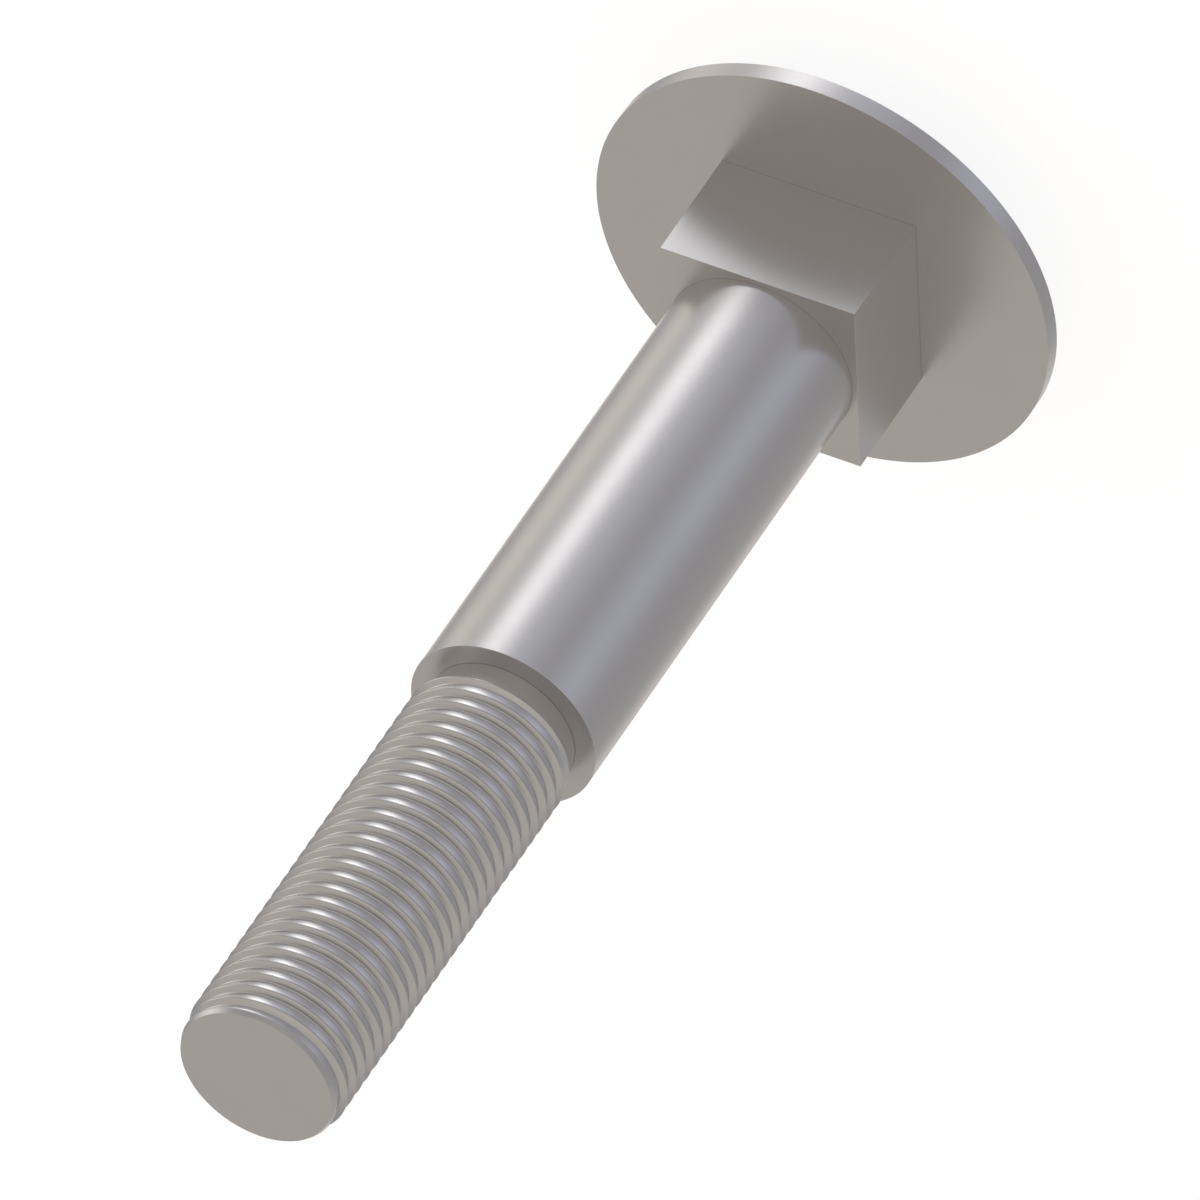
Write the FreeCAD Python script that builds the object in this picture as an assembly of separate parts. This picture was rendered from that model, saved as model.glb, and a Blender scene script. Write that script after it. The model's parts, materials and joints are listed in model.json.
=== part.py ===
import FreeCAD, Part
import math
import os

# Carriage bolt: a low domed round head, a square neck, a plain shank and a reduced threaded end.
# It is forged and rolled from one piece of steel, so it is one solid.
# It stands on the flattened crown of its head, with its axis on Z, the crown at z = 0 and the
# tip on top. The flats of the square neck face along X and Y. Lengths are in millimetres.

# Head: a flattened crown, a spherical dome, a thin upright rim and a flat underside
HEAD_DIAMETER = 24.65
HEAD_HEIGHT = 5.0
RIM_HEIGHT = 0.94
CROWN_FLAT_DIAMETER = 7.0

# Square neck, which keeps the bolt from turning in its hole
NECK_WIDTH = 10.58
NECK_DEPTH = 6.6

# Plain shank and length of the bolt, both measured from the head's underside
SHANK_DIAMETER = 10.0
BOLT_LENGTH = 60.0

# Threaded end: a core of the root size, bare beside the shoulder, with one rolled ridge round it
THREAD_LENGTH = 26.0
ROOT_DIAMETER = 8.16
CREST_DIAMETER = 8.82
RIDGE_WIDTH = 0.4
THREAD_PITCH = 0.91
RELIEF_LENGTH = 0.6

# The core narrows to this at the shoulder, from the first full turn of the ridge
UNDERCUT_DIAMETER = 7.8

# Turns in which the ridge rises beside the shoulder and dies away beside the tip
RISING_TURNS = 1.0
DYING_TURNS = 0.15

# Tip: a thin collar with a bevel round the end face
COLLAR_DIAMETER = 8.4
COLLAR_LENGTH = 0.35
TIP_FACE_DIAMETER = 8.14
TIP_BEVEL_LENGTH = 0.25

# The winding faces of the thread are made in stretches, each through a few points of the helix
STRETCHES_PER_TURN = 2
POINTS_PER_STRETCH = 9

TIP = HEAD_HEIGHT + BOLT_LENGTH
SHOULDER = TIP - THREAD_LENGTH
RIDGE_START = SHOULDER + RELIEF_LENGTH
UNDERCUT_LENGTH = RELIEF_LENGTH + THREAD_PITCH
COLLAR_START = TIP - COLLAR_LENGTH
TURNS = math.floor((COLLAR_START - RIDGE_START - RIDGE_WIDTH) / THREAD_PITCH)

OUTPUT_FOLDER = "parts"
AXIS = FreeCAD.Vector(0, 0, 1)
ORIGIN = FreeCAD.Vector(0, 0, 0)


def on_section(radius, height):
    """The point of the turned section at that radius and height."""
    return FreeCAD.Vector(radius, 0, height)


def turned(edges):
    """The solid that a closed outline beside the axis gives when it is turned about the axis."""
    return Part.Face(Part.Wire(edges)).revolve(ORIGIN, AXIS, 360)


def path(corners):
    """Straight edges from corner to corner."""
    return [Part.makeLine(start, end) for start, end in zip(corners, corners[1:])]


def dome_edge():
    """The dome's arc, from the edge of the flattened crown to the rim."""
    crown = CROWN_FLAT_DIAMETER / 2
    rim = HEAD_DIAMETER / 2
    rise = HEAD_HEIGHT - RIM_HEIGHT
    centre_height = (rim**2 + rise**2 - crown**2) / (2 * rise)
    sphere = math.hypot(crown, centre_height)
    middle_angle = (math.asin(crown / sphere) + math.asin(rim / sphere)) / 2
    middle = on_section(
        sphere * math.sin(middle_angle),
        centre_height - sphere * math.cos(middle_angle),
    )
    return Part.Arc(on_section(crown, 0), middle, on_section(rim, rise)).toShape()


def head_and_shank():
    """The head and the plain shank, turned about the bolt's axis."""
    rim = HEAD_DIAMETER / 2
    shank = SHANK_DIAMETER / 2
    outline = path([ORIGIN, on_section(CROWN_FLAT_DIAMETER / 2, 0)])
    outline.append(dome_edge())
    outline += path(
        [
            on_section(rim, HEAD_HEIGHT - RIM_HEIGHT),
            on_section(rim, HEAD_HEIGHT),
            on_section(shank, HEAD_HEIGHT),
            on_section(shank, SHOULDER),
            on_section(0, SHOULDER),
            ORIGIN,
        ]
    )
    return turned(outline)


def square_neck():
    """The square block against the head's underside, centred on the axis."""
    corner = FreeCAD.Vector(-NECK_WIDTH / 2, -NECK_WIDTH / 2, HEAD_HEIGHT)
    return Part.makeBox(NECK_WIDTH, NECK_WIDTH, NECK_DEPTH, corner)


def tip():
    """The collar with its bevel and the flat end face."""
    collar = COLLAR_DIAMETER / 2
    corners = [
        on_section(0, COLLAR_START),
        on_section(collar, COLLAR_START),
        on_section(collar, TIP - TIP_BEVEL_LENGTH),
        on_section(TIP_FACE_DIAMETER / 2, TIP),
        on_section(0, TIP),
        on_section(0, COLLAR_START),
    ]
    return turned(path(corners))


def ridge_share(turn):
    """The share of its full height that the ridge has at that turn."""
    share = max(0.0, min(1.0, turn / RISING_TURNS, (TURNS - turn) / DYING_TURNS))
    return share**2 * (3 - 2 * share)


def core_radius(height):
    """The core's radius at that height, which grows over the undercut and then stays."""
    share = min(1.0, (height - SHOULDER) / UNDERCUT_LENGTH)
    return (UNDERCUT_DIAMETER + (ROOT_DIAMETER - UNDERCUT_DIAMETER) * share) / 2


def on_core(turn, height, lift=0.0):
    """The point of the core at that turn from +X and that height, or that far off it."""
    angle = math.tau * turn
    radius = core_radius(height) + lift
    return FreeCAD.Vector(radius * math.cos(angle), radius * math.sin(angle), height)


def ring(height):
    """A level line round the core. A line gives its point at any turn."""

    def point_at(turn):
        return on_core(turn, height)

    return point_at


def winding(offset, lift=0.0):
    """A line along the ridge, that far above its lower foot and off the core."""

    def point_at(turn):
        height = RIDGE_START + THREAD_PITCH * turn + offset
        return on_core(turn, height, lift * ridge_share(turn))

    return point_at


def slope(line, turn):
    """The way in which a line runs at a turn, with its change in one turn as its length."""
    step = 0.0001
    return (line(turn + step) - line(turn - step)) * (0.5 / step)


def stretches(line, turn):
    """The edges of one turn of a line, from that turn on."""
    length = 1 / STRETCHES_PER_TURN
    shares = [number / POINTS_PER_STRETCH for number in range(POINTS_PER_STRETCH + 1)]
    edges = []
    for number in range(STRETCHES_PER_TURN):
        start = turn + number * length
        curve = Part.BSplineCurve()
        curve.interpolate(
            Points=[line(start + share * length) for share in shares],
            Parameters=shares,
            InitialTangent=slope(line, start) * length,
            FinalTangent=slope(line, start + length) * length,
            Scale=False,
        )
        edges.append(curve.toShape())
    return edges


def band(lower, upper, turn):
    """The faces between two lines over one turn."""
    pairs = zip(stretches(lower, turn), stretches(upper, turn))
    return [Part.makeRuledSurface(low, high) for low, high in pairs]


def disc(line):
    """The flat face inside a ring."""
    return Part.Face(Part.Wire(stretches(line, 0)))


def threaded_end():
    """The core with its ridge, from the shoulder to the collar, as one closed skin."""
    lower_foot = winding(0)
    crest = winding(RIDGE_WIDTH / 2, (CREST_DIAMETER - ROOT_DIAMETER) / 2)
    upper_foot = winding(RIDGE_WIDTH)
    next_foot = winding(THREAD_PITCH)
    start = ring(SHOULDER)
    end = ring(COLLAR_START)
    faces = [disc(start), disc(end)]
    faces += band(start, lower_foot, 0)
    for turn in range(TURNS):
        last = turn == TURNS - 1
        faces += band(lower_foot, crest, turn)
        faces += band(crest, upper_foot, turn)
        faces += band(upper_foot, end if last else next_foot, turn)
    skin = Part.Shell(faces)
    skin.sewShape()
    return Part.Solid(skin)


def carriage_bolt():
    """The whole bolt as one solid."""
    return head_and_shank().fuse([square_neck(), threaded_end(), tip()]).removeSplitter()


os.makedirs(OUTPUT_FOLDER, exist_ok=True)
carriage_bolt().exportStep(OUTPUT_FOLDER + "/carriage_bolt.step")
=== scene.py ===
"""Dresses the carriage bolt: its forged body, its rolled thread, its steel and a light table."""

import json
import logging
import math
from dataclasses import dataclass, field
from enum import Enum
from typing import Any, Iterable

import bmesh
import bpy
from mathutils import Matrix, Vector

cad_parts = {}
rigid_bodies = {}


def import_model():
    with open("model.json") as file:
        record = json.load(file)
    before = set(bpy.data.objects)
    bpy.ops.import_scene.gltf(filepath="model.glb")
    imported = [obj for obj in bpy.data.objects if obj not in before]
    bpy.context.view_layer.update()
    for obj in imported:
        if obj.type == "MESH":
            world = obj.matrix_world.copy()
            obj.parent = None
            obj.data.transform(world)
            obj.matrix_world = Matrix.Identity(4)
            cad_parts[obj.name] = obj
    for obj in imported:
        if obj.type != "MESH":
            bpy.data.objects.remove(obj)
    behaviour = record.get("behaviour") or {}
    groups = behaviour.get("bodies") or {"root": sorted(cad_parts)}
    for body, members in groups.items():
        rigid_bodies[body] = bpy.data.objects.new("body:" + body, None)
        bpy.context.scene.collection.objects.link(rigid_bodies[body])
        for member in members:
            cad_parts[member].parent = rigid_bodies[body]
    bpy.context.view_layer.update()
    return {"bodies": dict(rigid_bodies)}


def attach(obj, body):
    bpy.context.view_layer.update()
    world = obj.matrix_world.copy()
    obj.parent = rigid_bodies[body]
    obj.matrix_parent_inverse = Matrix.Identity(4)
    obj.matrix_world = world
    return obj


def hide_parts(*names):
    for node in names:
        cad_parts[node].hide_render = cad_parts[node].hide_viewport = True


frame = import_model()

MM = 0.001
BODY = next(iter(frame["bodies"]))
NODE = "carriage_bolt"

Colour = tuple[float, float, float]
log = logging.getLogger("carriage_bolt")


# Node graphs


class Term:
    """An output socket of a node graph that takes part in Python expressions."""

    def __init__(self, graph: "Graph", socket: bpy.types.NodeSocket) -> None:
        """Keeps the socket and the graph that its expressions grow in."""
        self.graph = graph
        self.socket = socket

    def math(self, operation: str, *others: "Term | float") -> "Term":
        """Applies a Math node to this term.

        Args:
            operation: the Math node's operation.
            others: the second and third values, where the operation takes them.

        Returns:
            The node's value.
        """
        return self.graph.node("ShaderNodeMath", {"operation": operation}, dict(enumerate((self, *others))))

    def __add__(self, other: "Term | float") -> "Term":
        """This term plus another."""
        return self.math("ADD", other)

    __radd__ = __add__

    def __sub__(self, other: "Term | float") -> "Term":
        """This term minus another."""
        return self.math("SUBTRACT", other)

    def __rsub__(self, other: float) -> "Term":
        """A number minus this term."""
        return self.graph.node("ShaderNodeMath", {"operation": "SUBTRACT"}, {0: other, 1: self})

    def __mul__(self, other: "Term | float") -> "Term":
        """This term times another."""
        return self.math("MULTIPLY", other)

    __rmul__ = __mul__

    def __truediv__(self, other: "Term | float") -> "Term":
        """This term divided by another."""
        return self.math("DIVIDE", other)

    def __mod__(self, other: "Term | float") -> "Term":
        """What is left of this term after whole multiples of another."""
        return self.math("FLOORED_MODULO", other)

    def __abs__(self) -> "Term":
        """This term without its sign."""
        return self.math("ABSOLUTE")

    def floor(self) -> "Term":
        """The whole number at or below this term."""
        return self.math("FLOOR")

    def part(self, axis: str) -> "Term":
        """One part of this vector, by the axis's letter."""
        return self.graph.node("ShaderNodeSeparateXYZ", None, {0: self}, axis)

    def larger(self, other: "Term | float") -> "Term":
        """The larger of this term and another."""
        return self.math("MAXIMUM", other)

    def smaller(self, other: "Term | float") -> "Term":
        """The smaller of this term and another."""
        return self.math("MINIMUM", other)

    def smoothly(self, start: "Term | float", end: "Term | float") -> "Term":
        """Goes smoothly from 0 to 1, and stays there.

        Args:
            start: the value of this term at which it leaves 0.
            end: the value at which it reaches 1.

        Returns:
            The share from 0 to 1.
        """
        return self.graph.node(
            "ShaderNodeMapRange",
            {"interpolation_type": "SMOOTHSTEP"},
            {"Value": self, "From Min": start, "From Max": end, "To Min": 0.0, "To Max": 1.0},
        )


class Graph:
    """A node tree, shader or geometry, that is built one node at a time."""

    def __init__(self, tree: bpy.types.NodeTree) -> None:
        """Takes over a tree and empties it."""
        self.tree = tree
        tree.nodes.clear()

    def node(
        self,
        kind: str,
        settings: dict[str, Any] | None = None,
        sockets: dict[str | int, Any] | None = None,
        output: str | int = 0,
    ) -> Term:
        """Adds any node.

        Args:
            kind: the node's type.
            settings: properties of the node, which are set before its sockets.
            sockets: values or terms by the input's name or number.
            output: the name or number of the output that is wanted.

        Returns:
            That output as a term.
        """
        made = self.tree.nodes.new(kind)
        for name, value in (settings or {}).items():
            setattr(made, name, value)
        for name, value in (sockets or {}).items():
            self.feed(made.inputs[name], value)
        return Term(self, made.outputs[output]) if made.outputs else Term(self, None)

    def feed(self, socket: bpy.types.NodeSocket, value: Any) -> None:
        """Gives an input its link or its plain value.

        Args:
            socket: the input.
            value: a term to link, or a plain value.
        """
        if isinstance(value, Term):
            self.tree.links.new(value.socket, socket)
        else:
            socket.default_value = value

    def choice(self, which: Term, values: Iterable["Term | float"]) -> Term:
        """Picks one of several values.

        Args:
            which: the number of the value, from 0.
            values: the values in their order.

        Returns:
            The picked value.
        """
        wanted = list(values)
        made = self.tree.nodes.new("GeometryNodeIndexSwitch")
        made.data_type = "FLOAT"
        while len(made.index_switch_items) < len(wanted):
            made.index_switch_items.new()
        self.feed(made.inputs[0], which)
        for number, value in enumerate(wanted):
            self.feed(made.inputs[number + 1], value)
        return Term(self, made.outputs[0])


def rgba(colour: Colour) -> tuple[float, float, float, float]:
    """A colour with full alpha."""
    return (*colour, 1.0)


# Steel


@dataclass(frozen=True)
class Crease:
    """A corner of the bolt where two of its surfaces meet, darkened there with painted shade."""

    half_width: float
    height: float
    square: bool = False


@dataclass(frozen=True)
class SatinSteel:
    """Bare steel with a satin gloss, a fine grain and painted shade in its corners, glossier where it is
    rolled.
    """

    name: str = "satin_steel"
    colour: Colour = (0.56, 0.55, 0.54)
    # Painted shade: the dark colour, core, reach and strength that darken the steel where two surfaces meet.
    corner_shade_colour: Colour = (0.2, 0.18, 0.17)
    corner_shade_core: float = 0.012 * MM
    corner_shade_reach: float = 0.03 * MM
    corner_shade_strength: float = 0.45
    roughness: float = 0.3
    roughness_change: float = 0.03
    rolled_roughness: float = 0.24
    rolled: tuple[float, float] = (0.0, 0.0)
    rolled_edge: float = 0.1 * MM
    cloud_size: float = 3.0 * MM
    cloud_detail: float = 3.0
    grain_size: float = 0.12 * MM
    grain_detail: float = 2.0
    grain_height: float = 0.0015 * MM
    creases: tuple[Crease, ...] = ()

    def corner_shade_mask(self, place: Term) -> Term:
        """Where shade is painted into the corners.

        Args:
            place: the Object coordinates.

        Returns:
            1 in a corner, 0 a little away from it.
        """
        x, y, z = (place.part(axis) for axis in "XYZ")
        radial = (x * x + y * y).math("SQRT")
        square = abs(x).larger(abs(y))
        mask: Term | None = None
        for crease in self.creases:
            across = abs((square if crease.square else radial) - crease.half_width)
            away = across.larger(abs(z - crease.height))
            here = 1.0 - away.smoothly(self.corner_shade_core, self.corner_shade_reach)
            mask = here if mask is None else mask.larger(here)
        return mask * self.corner_shade_strength

    def dullness(self, place: Term, cloud: Term) -> Term:
        """How rough the steel is.

        Args:
            place: the Object coordinates.
            cloud: a slow noise about 0.5.

        Returns:
            The roughness, which is lower between the two heights where the thread is rolled.
        """
        height = place.part("Z")
        lower, upper = self.rolled
        begun = height.smoothly(lower, lower + self.rolled_edge)
        ended = height.smoothly(upper - self.rolled_edge, upper)
        change = (begun - ended) * (self.rolled_roughness - self.roughness)
        return (cloud - 0.5) * (2.0 * self.roughness_change) + self.roughness + change

    def build(self) -> bpy.types.Material:
        """Makes the material.

        Returns:
            The material, in Object coordinates.
        """
        material = bpy.data.materials.new(self.name)
        material.use_nodes = True
        graph = Graph(material.node_tree)
        place = graph.node("ShaderNodeTexCoord", None, None, "Object")
        sizes = ((self.cloud_size, self.cloud_detail), (self.grain_size, self.grain_detail))
        cloud, grain = (
            graph.node("ShaderNodeTexNoise", None, {"Vector": place, "Scale": 1.0 / size, "Detail": detail})
            for size, detail in sizes
        )
        # Painted shade: the base colour turns towards the dark corner colour where two surfaces meet.
        colour = graph.node(
            "ShaderNodeMix",
            {"data_type": "RGBA"},
            {0: self.corner_shade_mask(place), 6: rgba(self.colour), 7: rgba(self.corner_shade_colour)},
            2,
        )
        bump = graph.node(
            "ShaderNodeBump", None, {"Strength": 1.0, "Distance": self.grain_height, "Height": grain}
        )
        shader = graph.node(
            "ShaderNodeBsdfPrincipled",
            None,
            {
                "Base Color": colour,
                "Metallic": 1.0,
                "Roughness": self.dullness(place, cloud),
                "Normal": bump,
            },
        )
        graph.node("ShaderNodeOutputMaterial", None, {"Surface": shader})
        return material


# The bolt's sections


class Outline(Enum):
    """The form of a section across the bolt's axis."""

    ROUND = "round"
    SQUARE = "square"


@dataclass(frozen=True)
class Section:
    """One section across the axis: half its width, its height and its form."""

    half_width: float
    height: float
    outline: Outline = Outline.ROUND

    def points(self, columns: int) -> list[Vector]:
        """Its points, one for each column.

        Args:
            columns: how many points go round the axis.

        Returns:
            The points, counter-clockwise from +X.
        """
        found = []
        for number in range(columns):
            angle = math.tau * number / columns
            away = self.half_width
            if self.outline is Outline.SQUARE:
                away /= max(abs(math.cos(angle)), abs(math.sin(angle)))
            found.append(Vector((away * math.cos(angle), away * math.sin(angle), self.height)))
        return found


@dataclass
class DomedHead:
    """The low round head: a flattened crown, a dome and a thin upright rim."""

    diameter: float = 24.65 * MM
    height: float = 5.0 * MM
    rim_height: float = 0.94 * MM
    crown_diameter: float = 7.0 * MM
    crown_shares: tuple[float, ...] = (0.5, 0.96)
    dome_steps: int = 28

    def sections(self) -> list[Section]:
        """The head's sections.

        Returns:
            The sections from its crown to its underside.
        """
        crown, rim = self.crown_diameter / 2, self.diameter / 2
        rise = self.height - self.rim_height
        centre = (rim**2 + rise**2 - crown**2) / (2 * rise)
        sphere = math.hypot(crown, centre)
        first, last = math.asin(crown / sphere), math.asin(rim / sphere)
        found = [Section(crown * share, 0.0) for share in self.crown_shares]
        for step in range(self.dome_steps + 1):
            angle = first + (last - first) * step / self.dome_steps
            found.append(Section(sphere * math.sin(angle), centre - sphere * math.cos(angle)))
        found.append(Section(rim, self.height))
        return found


@dataclass
class SquareNeck:
    """The square block under the head that keeps the bolt from turning."""

    width: float = 10.58 * MM
    depth: float = 6.6 * MM

    def sections(self, start: float) -> list[Section]:
        """The neck's two ends.

        Args:
            start: the height of the head's underside.

        Returns:
            The sections at its foot and at its free end.
        """
        heights = (start, start + self.depth)
        return [Section(self.width / 2, height, Outline.SQUARE) for height in heights]


@dataclass
class PlainShank:
    """The plain shank with the shoulder at its end."""

    diameter: float = 10.0 * MM
    shoulder: float = 39.0 * MM

    def sections(self, start: float, inner: float) -> list[Section]:
        """The shank's sections.

        Args:
            start: the height of the neck's free end.
            inner: the radius of the thinner end beside the shoulder.

        Returns:
            The sections from the neck to the inner edge of the shoulder.
        """
        radius = self.diameter / 2
        return [
            Section(radius, start),
            Section(radius, self.shoulder),
            Section(inner, self.shoulder),
        ]


@dataclass
class BevelledTip:
    """The bolt's end: a thin collar with a bevel round the flat end face."""

    height: float = 65.0 * MM
    collar_radius: float = 4.2 * MM
    collar_length: float = 0.35 * MM
    bevel_length: float = 0.25 * MM
    face_radius: float = 4.07 * MM
    inner_share: float = 0.5

    def start(self) -> float:
        """The height at which the thread ends and the collar begins."""
        return self.height - self.collar_length

    def sections(self, root: float) -> list[Section]:
        """The tip's sections.

        Args:
            root: the radius at the root of the thread.

        Returns:
            The sections from the thread's last floor to the middle of the end face.
        """
        return [
            Section(root, self.start()),
            Section(self.collar_radius, self.start()),
            Section(self.collar_radius, self.height - self.bevel_length),
            Section(self.face_radius, self.height),
            Section(self.face_radius * self.inner_share, self.height),
        ]


@dataclass
class RolledThread:
    """The fine right-hand thread: one ridge, with its crest and feet rounded, up the thinner end."""

    pitch: float = 0.91 * MM
    root_radius: float = 4.08 * MM
    crest_radius: float = 4.41 * MM
    ridge_width: float = 0.4 * MM
    crest_rounding: float = 0.11 * MM
    foot_rounding: float = 0.05 * MM
    relief_length: float = 0.6 * MM
    undercut_radius: float = 3.9 * MM
    rising_turns: float = 1.0
    dying_turns: float = 0.15
    crest_fall: float = 1.0 / 3.0
    turns_above: int = 2
    columns: int = 192
    seam: float = 0.001 * MM

    def inputs(self, lower: float, upper: float, material: bpy.types.Material | None) -> dict[str, Any]:
        """The values of the thread's node group by the names of its inputs.

        Args:
            lower: the height of the shoulder beside the threaded end.
            upper: the height of the collar at the tip.
            material: the steel.

        Returns:
            The values by name.
        """
        start = lower + self.relief_length
        return {
            "Columns": self.columns,
            "Turns": math.floor((upper - start - self.ridge_width) / self.pitch),
            "Turns Below": math.ceil(self.relief_length / self.pitch) + 1,
            "Start": start,
            "Pitch": self.pitch,
            "Root Radius": self.root_radius,
            "Undercut Radius": self.undercut_radius,
            "Undercut Length": self.relief_length + self.pitch,
            "Ridge Height": self.crest_radius - self.root_radius,
            "Ridge Width": self.ridge_width,
            "Crest Rounding": self.crest_rounding,
            "Foot Rounding": self.foot_rounding,
            "Rising Turns": self.rising_turns,
            "Dying Turns": self.dying_turns,
            "Lower End": lower,
            "Upper End": upper,
            "Material": material,
        }

    def group(self) -> bpy.types.NodeTree:
        """Builds the thread's node group.

        Returns:
            A tree that makes the threaded end from its named inputs.
        """
        tree = bpy.data.node_groups.new("rolled_thread", "GeometryNodeTree")
        tree.interface.new_socket("Geometry", in_out="OUTPUT", socket_type="NodeSocketGeometry")
        kinds = {name: "NodeSocketInt" for name in ("Columns", "Turns", "Turns Below")}
        kinds["Material"] = "NodeSocketMaterial"
        names = self.inputs(0.0, self.pitch, None)
        for name in names:
            tree.interface.new_socket(
                name, in_out="INPUT", socket_type=kinds.get(name, "NodeSocketFloat")
            )
        graph = Graph(tree)
        entry = tree.nodes.new("NodeGroupInput")
        given = {name: Term(graph, entry.outputs[name]) for name in names}

        half, rise = given["Ridge Width"] / 2.0, given["Ridge Height"]
        flank = (half * half + rise * rise).math("SQRT")
        foot_along, foot_out = (given["Foot Rounding"] * side / flank for side in (half, rise))
        crest_along, crest_out = (given["Crest Rounding"] * side / flank for side in (half, rise))
        profile = (
            (0.0 - given["Foot Rounding"], 0.0),
            (foot_along, foot_out),
            (half - crest_along, rise - crest_out * self.crest_fall),
            (half, rise),
            (half + crest_along, rise - crest_out * self.crest_fall),
            (given["Ridge Width"] - foot_along, foot_out),
            (given["Ridge Width"] + given["Foot Rounding"], 0.0),
        )
        count = float(len(profile))
        rows = (given["Turns"] + given["Turns Below"] + float(self.turns_above)) * count
        grid = graph.node(
            "GeometryNodeMeshGrid",
            None,
            {"Size X": 1.0, "Size Y": 1.0, "Vertices X": rows, "Vertices Y": given["Columns"] + 1.0},
        )
        place = graph.node("GeometryNodeInputPosition")
        along, turn = place.part("X") + 0.5, place.part("Y") + 0.5
        row = (along * (rows - 1.0) + 0.5).floor()
        corner = row % count
        wound_turns = (row / count).floor() - given["Turns Below"] + turn

        offset = graph.choice(corner, (along_axis for along_axis, _ in profile))
        lift = graph.choice(corner, (off_core for _, off_core in profile))
        rising = wound_turns.smoothly(0.0, given["Rising Turns"])
        dying = (given["Turns"] - wound_turns).smoothly(0.0, given["Dying Turns"])
        height = given["Start"] + wound_turns * given["Pitch"] + offset
        level = height.larger(given["Lower End"]).smaller(given["Upper End"])
        grown = ((level - given["Lower End"]) / given["Undercut Length"]).smaller(1.0)
        core = given["Undercut Radius"] + (given["Root Radius"] - given["Undercut Radius"]) * grown
        radius = core + lift * rising * dying
        angle = turn * math.tau
        spot = graph.node(
            "ShaderNodeCombineXYZ",
            None,
            {
                "X": radius * angle.math("COSINE"),
                "Y": radius * angle.math("SINE"),
                "Z": level,
            },
        )
        wound = graph.node("GeometryNodeSetPosition", None, {"Geometry": grid, "Position": spot})
        closed = graph.node("GeometryNodeMergeByDistance", None, {"Geometry": wound, "Distance": self.seam})
        facing = graph.node("GeometryNodeFlipFaces", None, {"Mesh": closed})
        solid = graph.node("GeometryNodeRealizeInstances", None, {"Geometry": facing})
        dressed = graph.node(
            "GeometryNodeSetMaterial", None, {"Geometry": solid, "Material": given["Material"]}
        )
        graph.node("NodeGroupOutput", None, {"Geometry": dressed})
        return tree

    def build(self, lower: float, upper: float, material: bpy.types.Material) -> bpy.types.Mesh:
        """Makes the threaded end.

        Args:
            lower: the height of the shoulder beside it.
            upper: the height of the collar at the tip.
            material: the steel.

        Returns:
            Its mesh, open at both ends.
        """
        carrier = bpy.data.objects.new("thread_carrier", bpy.data.meshes.new("thread_carrier"))
        bpy.context.scene.collection.objects.link(carrier)
        modifier = carrier.modifiers.new("thread", "NODES")
        modifier.node_group = self.group()
        sockets = {item.name: item for item in modifier.node_group.interface.items_tree}
        for name, value in self.inputs(lower, upper, material).items():
            modifier[sockets[name].identifier] = value
        return baked(carrier)


def baked(carrier: bpy.types.Object) -> bpy.types.Mesh:
    """Turns an object with modifiers into a plain mesh and removes the object.

    Args:
        carrier: the object, already linked to the scene.

    Returns:
        The evaluated mesh.
    """
    bpy.context.view_layer.update()
    graph = bpy.context.evaluated_depsgraph_get()
    mesh = bpy.data.meshes.new_from_object(carrier.evaluated_get(graph))
    bpy.data.objects.remove(carrier)
    return mesh


def shade_evenly(mesh: bpy.types.Mesh, limit: float) -> None:
    """Lets large faces keep their own shading, so that only the thin strips between them look round.

    Args:
        mesh: the mesh, with smooth faces.
        limit: the angle above which two faces meet in a sharp edge.
    """
    meeting: list[list[bpy.types.MeshPolygon]] = [[] for _ in mesh.vertices]
    for face in mesh.polygons:
        for vertex in face.vertices:
            meeting[vertex].append(face)
    normals = []
    for face in mesh.polygons:
        for vertex in face.vertices:
            near = (other for other in meeting[vertex] if face.normal.dot(other.normal) > math.cos(limit))
            normals.append(sum((other.normal * other.area for other in near), Vector()).normalized())
    mesh.normals_split_custom_set(normals)


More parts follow.
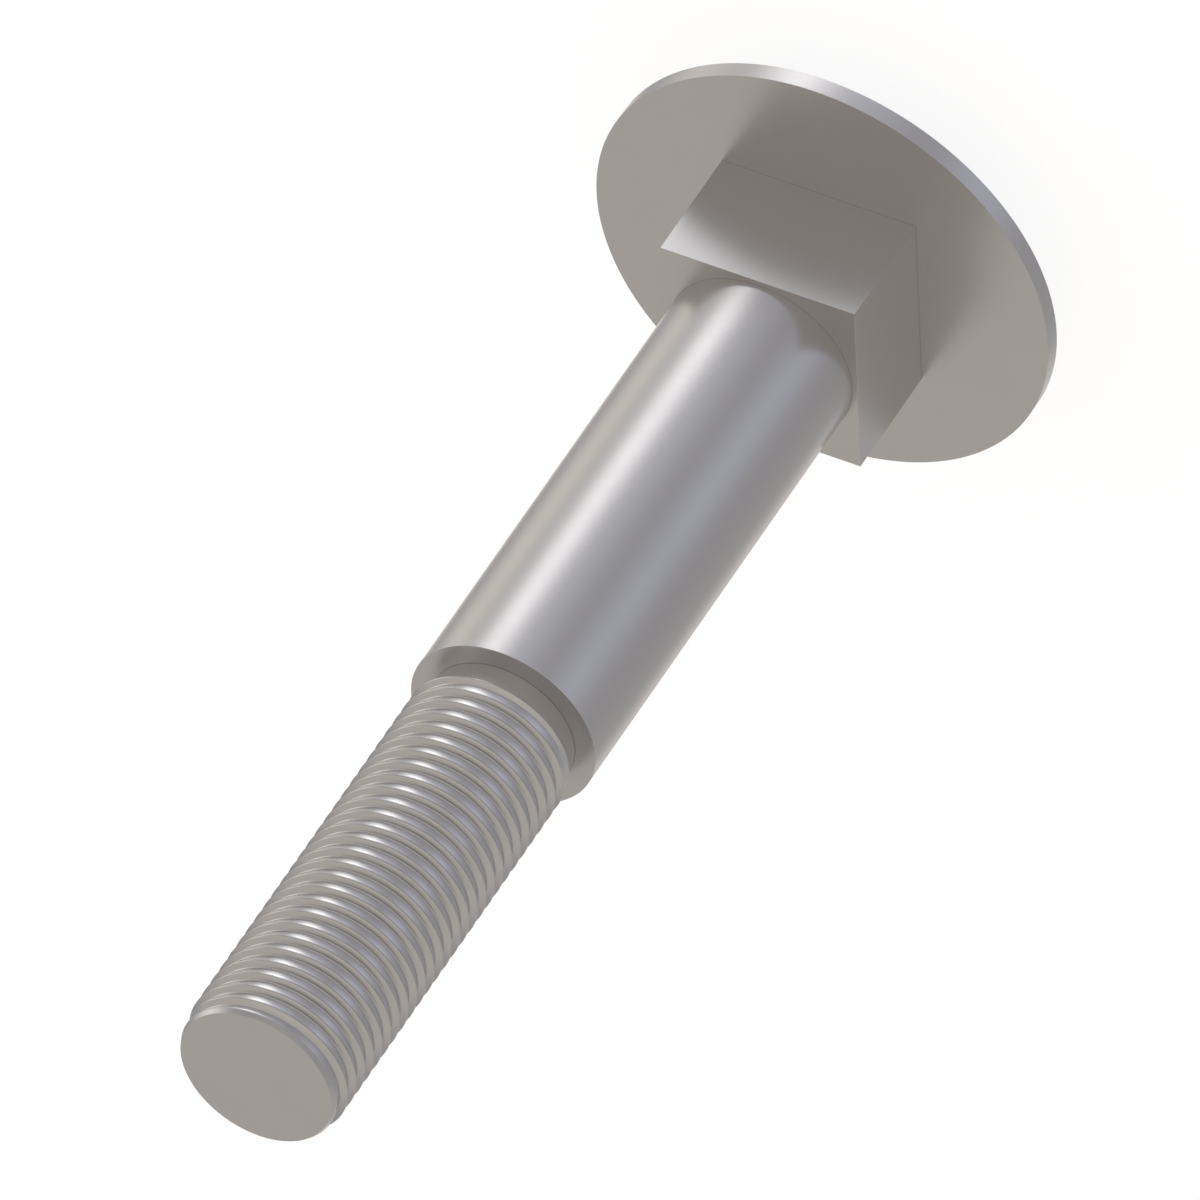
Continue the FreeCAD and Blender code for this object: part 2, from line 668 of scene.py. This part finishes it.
@dataclass
class CarriageBolt:
    """The whole bolt, forged and rolled from one piece of steel."""

    head: DomedHead = field(default_factory=DomedHead)
    neck: SquareNeck = field(default_factory=SquareNeck)
    shank: PlainShank = field(default_factory=PlainShank)
    thread: RolledThread = field(default_factory=RolledThread)
    tip: BevelledTip = field(default_factory=BevelledTip)
    edge_rounding: float = 0.012 * MM
    edge_steps: int = 2
    edge_angle: float = math.radians(25)
    smooth_angle: float = math.radians(70)
    weld: float = 0.0005 * MM

    def steel(self) -> SatinSteel:
        """The bolt's finish.

        Returns:
            The steel, with the corners that get painted shade and the rolled stretch of this bolt's own
            sizes.
        """
        neck_end = self.head.height + self.neck.depth
        return SatinSteel(
            rolled=(self.shank.shoulder, self.tip.start()),
            # The corners where painted shade darkens the steel's colour.
            creases=(
                Crease(self.neck.width / 2, self.head.height, square=True),
                Crease(self.shank.diameter / 2, neck_end),
                Crease(self.thread.undercut_radius, self.shank.shoulder),
            ),
        )

    def skin(self, sections: list[Section], first_pole: bool) -> bpy.types.Mesh:
        """Joins sections into one skin that is closed at one end.

        Args:
            sections: the sections from the lowest to the highest.
            first_pole: whether the first section is filled, and otherwise the last is.

        Returns:
            The skin, open at its other end.
        """
        columns = self.thread.columns
        skin = bmesh.new()
        rings = [[skin.verts.new(point) for point in each.points(columns)] for each in sections]
        for low, high in zip(rings, rings[1:]):
            for number in range(columns):
                after = (number + 1) % columns
                skin.faces.new((low[number], low[after], high[after], high[number]))
        filled, height = (rings[0], sections[0].height) if first_pole else (rings[-1], sections[-1].height)
        pole = skin.verts.new((0.0, 0.0, height))
        for number in range(columns):
            after = (number + 1) % columns
            ends = (filled[after], filled[number]) if first_pole else (filled[number], filled[after])
            skin.faces.new((*ends, pole))
        mesh = bpy.data.meshes.new("skin")
        skin.to_mesh(mesh)
        skin.free()
        return mesh

    def rounded(self, mesh: bpy.types.Mesh) -> bpy.types.Mesh:
        """Breaks the sharp edges of a skin.

        Args:
            mesh: the skin.

        Returns:
            The skin with finely rounded edges.
        """
        carrier = bpy.data.objects.new("rounding", mesh)
        bpy.context.scene.collection.objects.link(carrier)
        bevel = carrier.modifiers.new("edges", "BEVEL")
        bevel.limit_method = "ANGLE"
        bevel.angle_limit = self.edge_angle
        bevel.width = self.edge_rounding
        bevel.segments = self.edge_steps
        return baked(carrier)

    def blank(self) -> list[bpy.types.Mesh]:
        """The bolt without its thread.

        Returns:
            The skin of head, neck and shank, and the skin of the tip.
        """
        lower = self.head.sections() + self.neck.sections(self.head.height)
        lower += self.shank.sections(self.head.height + self.neck.depth, self.thread.undercut_radius)
        upper = self.tip.sections(self.thread.root_radius)
        return [self.rounded(self.skin(lower, True)), self.rounded(self.skin(upper, False))]

    def build(self) -> bpy.types.Object:
        """Makes the bolt as one closed piece and dresses it.

        Returns:
            The piece.
        """
        steel = self.steel().build()
        parts = self.blank() + [self.thread.build(self.shank.shoulder, self.tip.start(), steel)]
        whole = bmesh.new()
        for part in parts:
            whole.from_mesh(part)
        bmesh.ops.remove_doubles(whole, verts=whole.verts, dist=self.weld)
        bmesh.ops.recalc_face_normals(whole, faces=whole.faces)
        open_edges = sum(1 for edge in whole.edges if not edge.is_manifold)
        for face in whole.faces:
            face.smooth = True
            face.material_index = 0
        mesh = bpy.data.meshes.new("forged_bolt")
        whole.to_mesh(mesh)
        whole.free()
        mesh.materials.clear()
        mesh.materials.append(steel)
        shade_evenly(mesh, self.smooth_angle)
        piece = bpy.data.objects.new("forged_bolt", mesh)
        bpy.context.scene.collection.objects.link(piece)
        mesh.calc_loop_triangles()
        log.info("forged_bolt: %d triangles, %d open edges", len(mesh.loop_triangles), open_edges)
        return piece


# The studio


def toward(azimuth: float, elevation: float) -> Vector:
    """The direction from the bolt to a point round it.

    Args:
        azimuth: 0 in front, on -Y, and 90 on +X, in degrees.
        elevation: above the horizon, in degrees.

    Returns:
        The unit vector.
    """
    turn, lift = math.radians(azimuth), math.radians(elevation)
    return Vector((math.sin(turn) * math.cos(lift), -math.cos(turn) * math.cos(lift), math.sin(lift)))


@dataclass(frozen=True)
class SoftLight:
    """A large lamp without hard edges, far away, as a soft patch of the surroundings."""

    name: str
    azimuth: float
    elevation: float
    width: float
    radiance: float
    colour: Colour = (1.0, 1.0, 1.0)

    def shine(self, graph: Graph, direction: Term) -> Term:
        """What the lamp adds to the surroundings.

        Args:
            graph: the world's graph.
            direction: the direction that is looked in.

        Returns:
            Its light, which is halved at half its width, in degrees, from its middle.
        """
        middle = toward(self.azimuth, self.elevation)
        nearness = graph.node(
            "ShaderNodeVectorMath", {"operation": "DOT_PRODUCT"}, {0: direction, 1: middle}, "Value"
        )
        sharpness = math.log(2.0) / (1.0 - math.cos(math.radians(self.width / 2)))
        strength = ((nearness - 1.0) * sharpness).math("EXPONENT") * self.radiance
        return graph.node(
            "ShaderNodeVectorMath", {"operation": "SCALE"}, {0: self.colour, "Scale": strength}
        )


@dataclass(frozen=True)
class Surroundings:
    """White for the camera, and the studio's own tone and lamps for what the steel mirrors."""

    white: Colour = (1.0, 1.0, 1.0)
    white_share: float = 0.3
    upper: Colour = (0.498, 0.438, 0.392)
    lower: Colour = (0.17, 0.157, 0.185)
    dusk: tuple[float, float] = (0.27, 0.53)
    lights: tuple[SoftLight, ...] = (
        SoftLight("white_light", 37.7, -47.0, 18.8, 4.4, (0.98, 0.98, 1.0)),
        SoftLight("fill_light", 0.2, -48.0, 23.5, 0.73, (0.76, 0.81, 1.0)),
        SoftLight("warm_light", 86.1, -39.7, 27.8, 0.88, (1.0, 0.92, 0.78)),
        SoftLight("cool_light", -64.6, -47.9, 27.6, 0.75, (0.65, 0.73, 1.0)),
        SoftLight("rear_light", 179.5, -27.0, 26.0, 0.9, (1.0, 0.92, 0.8)),
        SoftLight("edge_light", 147.3, -33.6, 14.0, 2.6, (1.0, 0.92, 0.76)),
        SoftLight("level_light", 80.0, 2.0, 31.0, 1.6, (1.0, 0.93, 0.84)),
        SoftLight("left_light", -137.0, -5.0, 50.0, 0.25, (1.0, 0.95, 0.8)),
        SoftLight("front_light", -5.0, 55.0, 60.0, 0.16, (1.0, 0.96, 0.92)),
    )

    def shown(self, graph: Graph) -> Term:
        """How much of the white a ray sees.

        Args:
            graph: the graph of the world or of the table.

        Returns:
            All of it for the camera and through glass, a share for gloss, and none otherwise.
        """
        rays = {
            name: graph.node("ShaderNodeLightPath", None, None, name)
            for name in ("Is Camera Ray", "Is Transmission Ray", "Is Glossy Ray")
        }
        clear = rays["Is Camera Ray"].larger(rays["Is Transmission Ray"])
        return clear.larger(rays["Is Glossy Ray"] * self.white_share)

    def build(self) -> None:
        """Sets the world."""
        world = bpy.data.worlds.new("studio")
        world.use_nodes = True
        bpy.context.scene.world = world
        graph = Graph(world.node_tree)
        direction = graph.node("ShaderNodeTexCoord", None, None, "Generated")
        rise = direction.part("Z").smoothly(*self.dusk)
        tone = graph.node(
            "ShaderNodeMix", {"data_type": "RGBA"}, {0: rise, 6: rgba(self.lower), 7: rgba(self.upper)}, 2
        )
        for light in self.lights:
            tone = graph.node(
                "ShaderNodeVectorMath", {"operation": "ADD"}, {0: tone, 1: light.shine(graph, direction)}
            )
            log.info("%s: radiance %.2f", light.name, light.radiance)
        colour = graph.node(
            "ShaderNodeMix", {"data_type": "RGBA"}, {0: self.shown(graph), 6: tone, 7: rgba(self.white)}, 2
        )
        background = graph.node("ShaderNodeBackground", None, {"Color": colour, "Strength": 1.0})
        graph.node("ShaderNodeOutputWorld", None, {"Surface": background})


@dataclass(frozen=True)
class LightTable:
    """A plain white table that the bolt stands on and that the light from below passes.

    The spot under the bolt keeps most of that light off the dome. Seen from below, the table is clear.
    """

    half_width: float = 1.5
    gap: float = 0.005 * MM
    glow: float = 0.88
    colour: Colour = (0.3, 0.3, 0.3)
    spot_radius: float = 13.0 * MM
    spot_edge: float = 1.5 * MM
    spot_density: float = 0.85

    def passed(self, graph: Graph) -> Term:
        """How much of a ray the table lets through.

        Args:
            graph: the table's graph.

        Returns:
            1 from below and for light beside the spot, less in the spot, and 0 for the camera above it.
        """
        place = graph.node("ShaderNodeTexCoord", None, None, "Object")
        away = graph.node("ShaderNodeVectorMath", {"operation": "LENGTH"}, {0: place}, "Value")
        open_share = away.smoothly(self.spot_radius - self.spot_edge, self.spot_radius)
        held_back = (1.0 - open_share) * self.spot_density
        gloss = graph.node("ShaderNodeLightPath", None, None, "Is Glossy Ray")
        shadow = graph.node("ShaderNodeLightPath", None, None, "Is Shadow Ray")
        below = graph.node("ShaderNodeNewGeometry", None, None, "Backfacing")
        return (gloss.larger(shadow) * (1.0 - held_back)).larger(below)

    def build(self, surroundings: Surroundings) -> bpy.types.Object:
        """Makes the table.

        Args:
            surroundings: what says which rays see it white.

        Returns:
            The table, which keeps the bolt's shadow.
        """
        mesh = bpy.data.meshes.new("light_table")
        half = self.half_width
        corners = [(x, y, -self.gap) for x, y in ((-half, -half), (half, -half), (half, half), (-half, half))]
        mesh.from_pydata(corners, [], [(0, 1, 2, 3)])
        material = bpy.data.materials.new("light_table")
        material.use_nodes = True
        graph = Graph(material.node_tree)
        paint = graph.node("ShaderNodeBsdfDiffuse", None, {"Color": rgba(self.colour)})
        glow = graph.node(
            "ShaderNodeEmission",
            None,
            {"Color": rgba(surroundings.white), "Strength": surroundings.shown(graph) * self.glow},
        )
        both = graph.node("ShaderNodeAddShader", None, {0: paint, 1: glow})
        clear = graph.node("ShaderNodeBsdfTransparent")
        surface = graph.node("ShaderNodeMixShader", None, {0: self.passed(graph), 1: both, 2: clear})
        graph.node("ShaderNodeOutputMaterial", None, {"Surface": surface})
        mesh.materials.append(material)
        table = bpy.data.objects.new("light_table", mesh)
        bpy.context.scene.collection.objects.link(table)
        return table


@dataclass(frozen=True)
class PhotoCamera:
    """The camera at the photograph's viewing angle."""

    azimuth: float = -25.11
    elevation: float = 37.54
    roll: float = 215.015
    lens: float = 1600.0
    sensor: float = 36.0
    field_width: float = 58.062 * MM
    shift_right: float = -0.761 * MM
    shift_up: float = -1.755 * MM
    pivot: float = 27.05 * MM
    clip_shares: tuple[float, float] = (0.5, 2.0)

    def build(self) -> bpy.types.Object:
        """Sets the scene's camera.

        Returns:
            The camera.
        """
        data = bpy.data.cameras.new("photo_camera")
        data.lens, data.sensor_width = self.lens, self.sensor
        distance = self.field_width * self.lens / self.sensor
        data.clip_start, data.clip_end = (distance * share for share in self.clip_shares)
        back = toward(self.azimuth, self.elevation)
        level = Vector((math.cos(math.radians(self.azimuth)), math.sin(math.radians(self.azimuth)), 0.0))
        rise = back.cross(level)
        turn = math.radians(self.roll)
        right = math.cos(turn) * level + math.sin(turn) * rise
        up = math.cos(turn) * rise - math.sin(turn) * level
        middle = Vector((0.0, 0.0, self.pivot)) + right * self.shift_right + up * self.shift_up
        camera = bpy.data.objects.new("photo_camera", data)
        bpy.context.scene.collection.objects.link(camera)
        camera.matrix_world = Matrix.Translation(middle + back * distance) @ Matrix(
            (right, up, back)
        ).transposed().to_4x4()
        bpy.context.scene.camera = camera
        return camera


@dataclass
class Studio:
    """Surroundings, table and camera."""

    surroundings: Surroundings = field(default_factory=Surroundings)
    table: LightTable = field(default_factory=LightTable)
    camera: PhotoCamera = field(default_factory=PhotoCamera)

    def build(self) -> None:
        """Sets the studio up."""
        self.surroundings.build()
        self.table.build(self.surroundings)
        self.camera.build()


def main() -> None:
    """Builds the bolt and its studio, and reports each piece."""
    logging.basicConfig(level=logging.INFO, format="%(name)s %(message)s")
    bpy.context.scene.view_settings.view_transform = "Standard"
    piece = CarriageBolt().build()
    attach(piece, BODY)
    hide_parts(NODE)
    Studio().build()


if __name__ == "__main__":
    main()
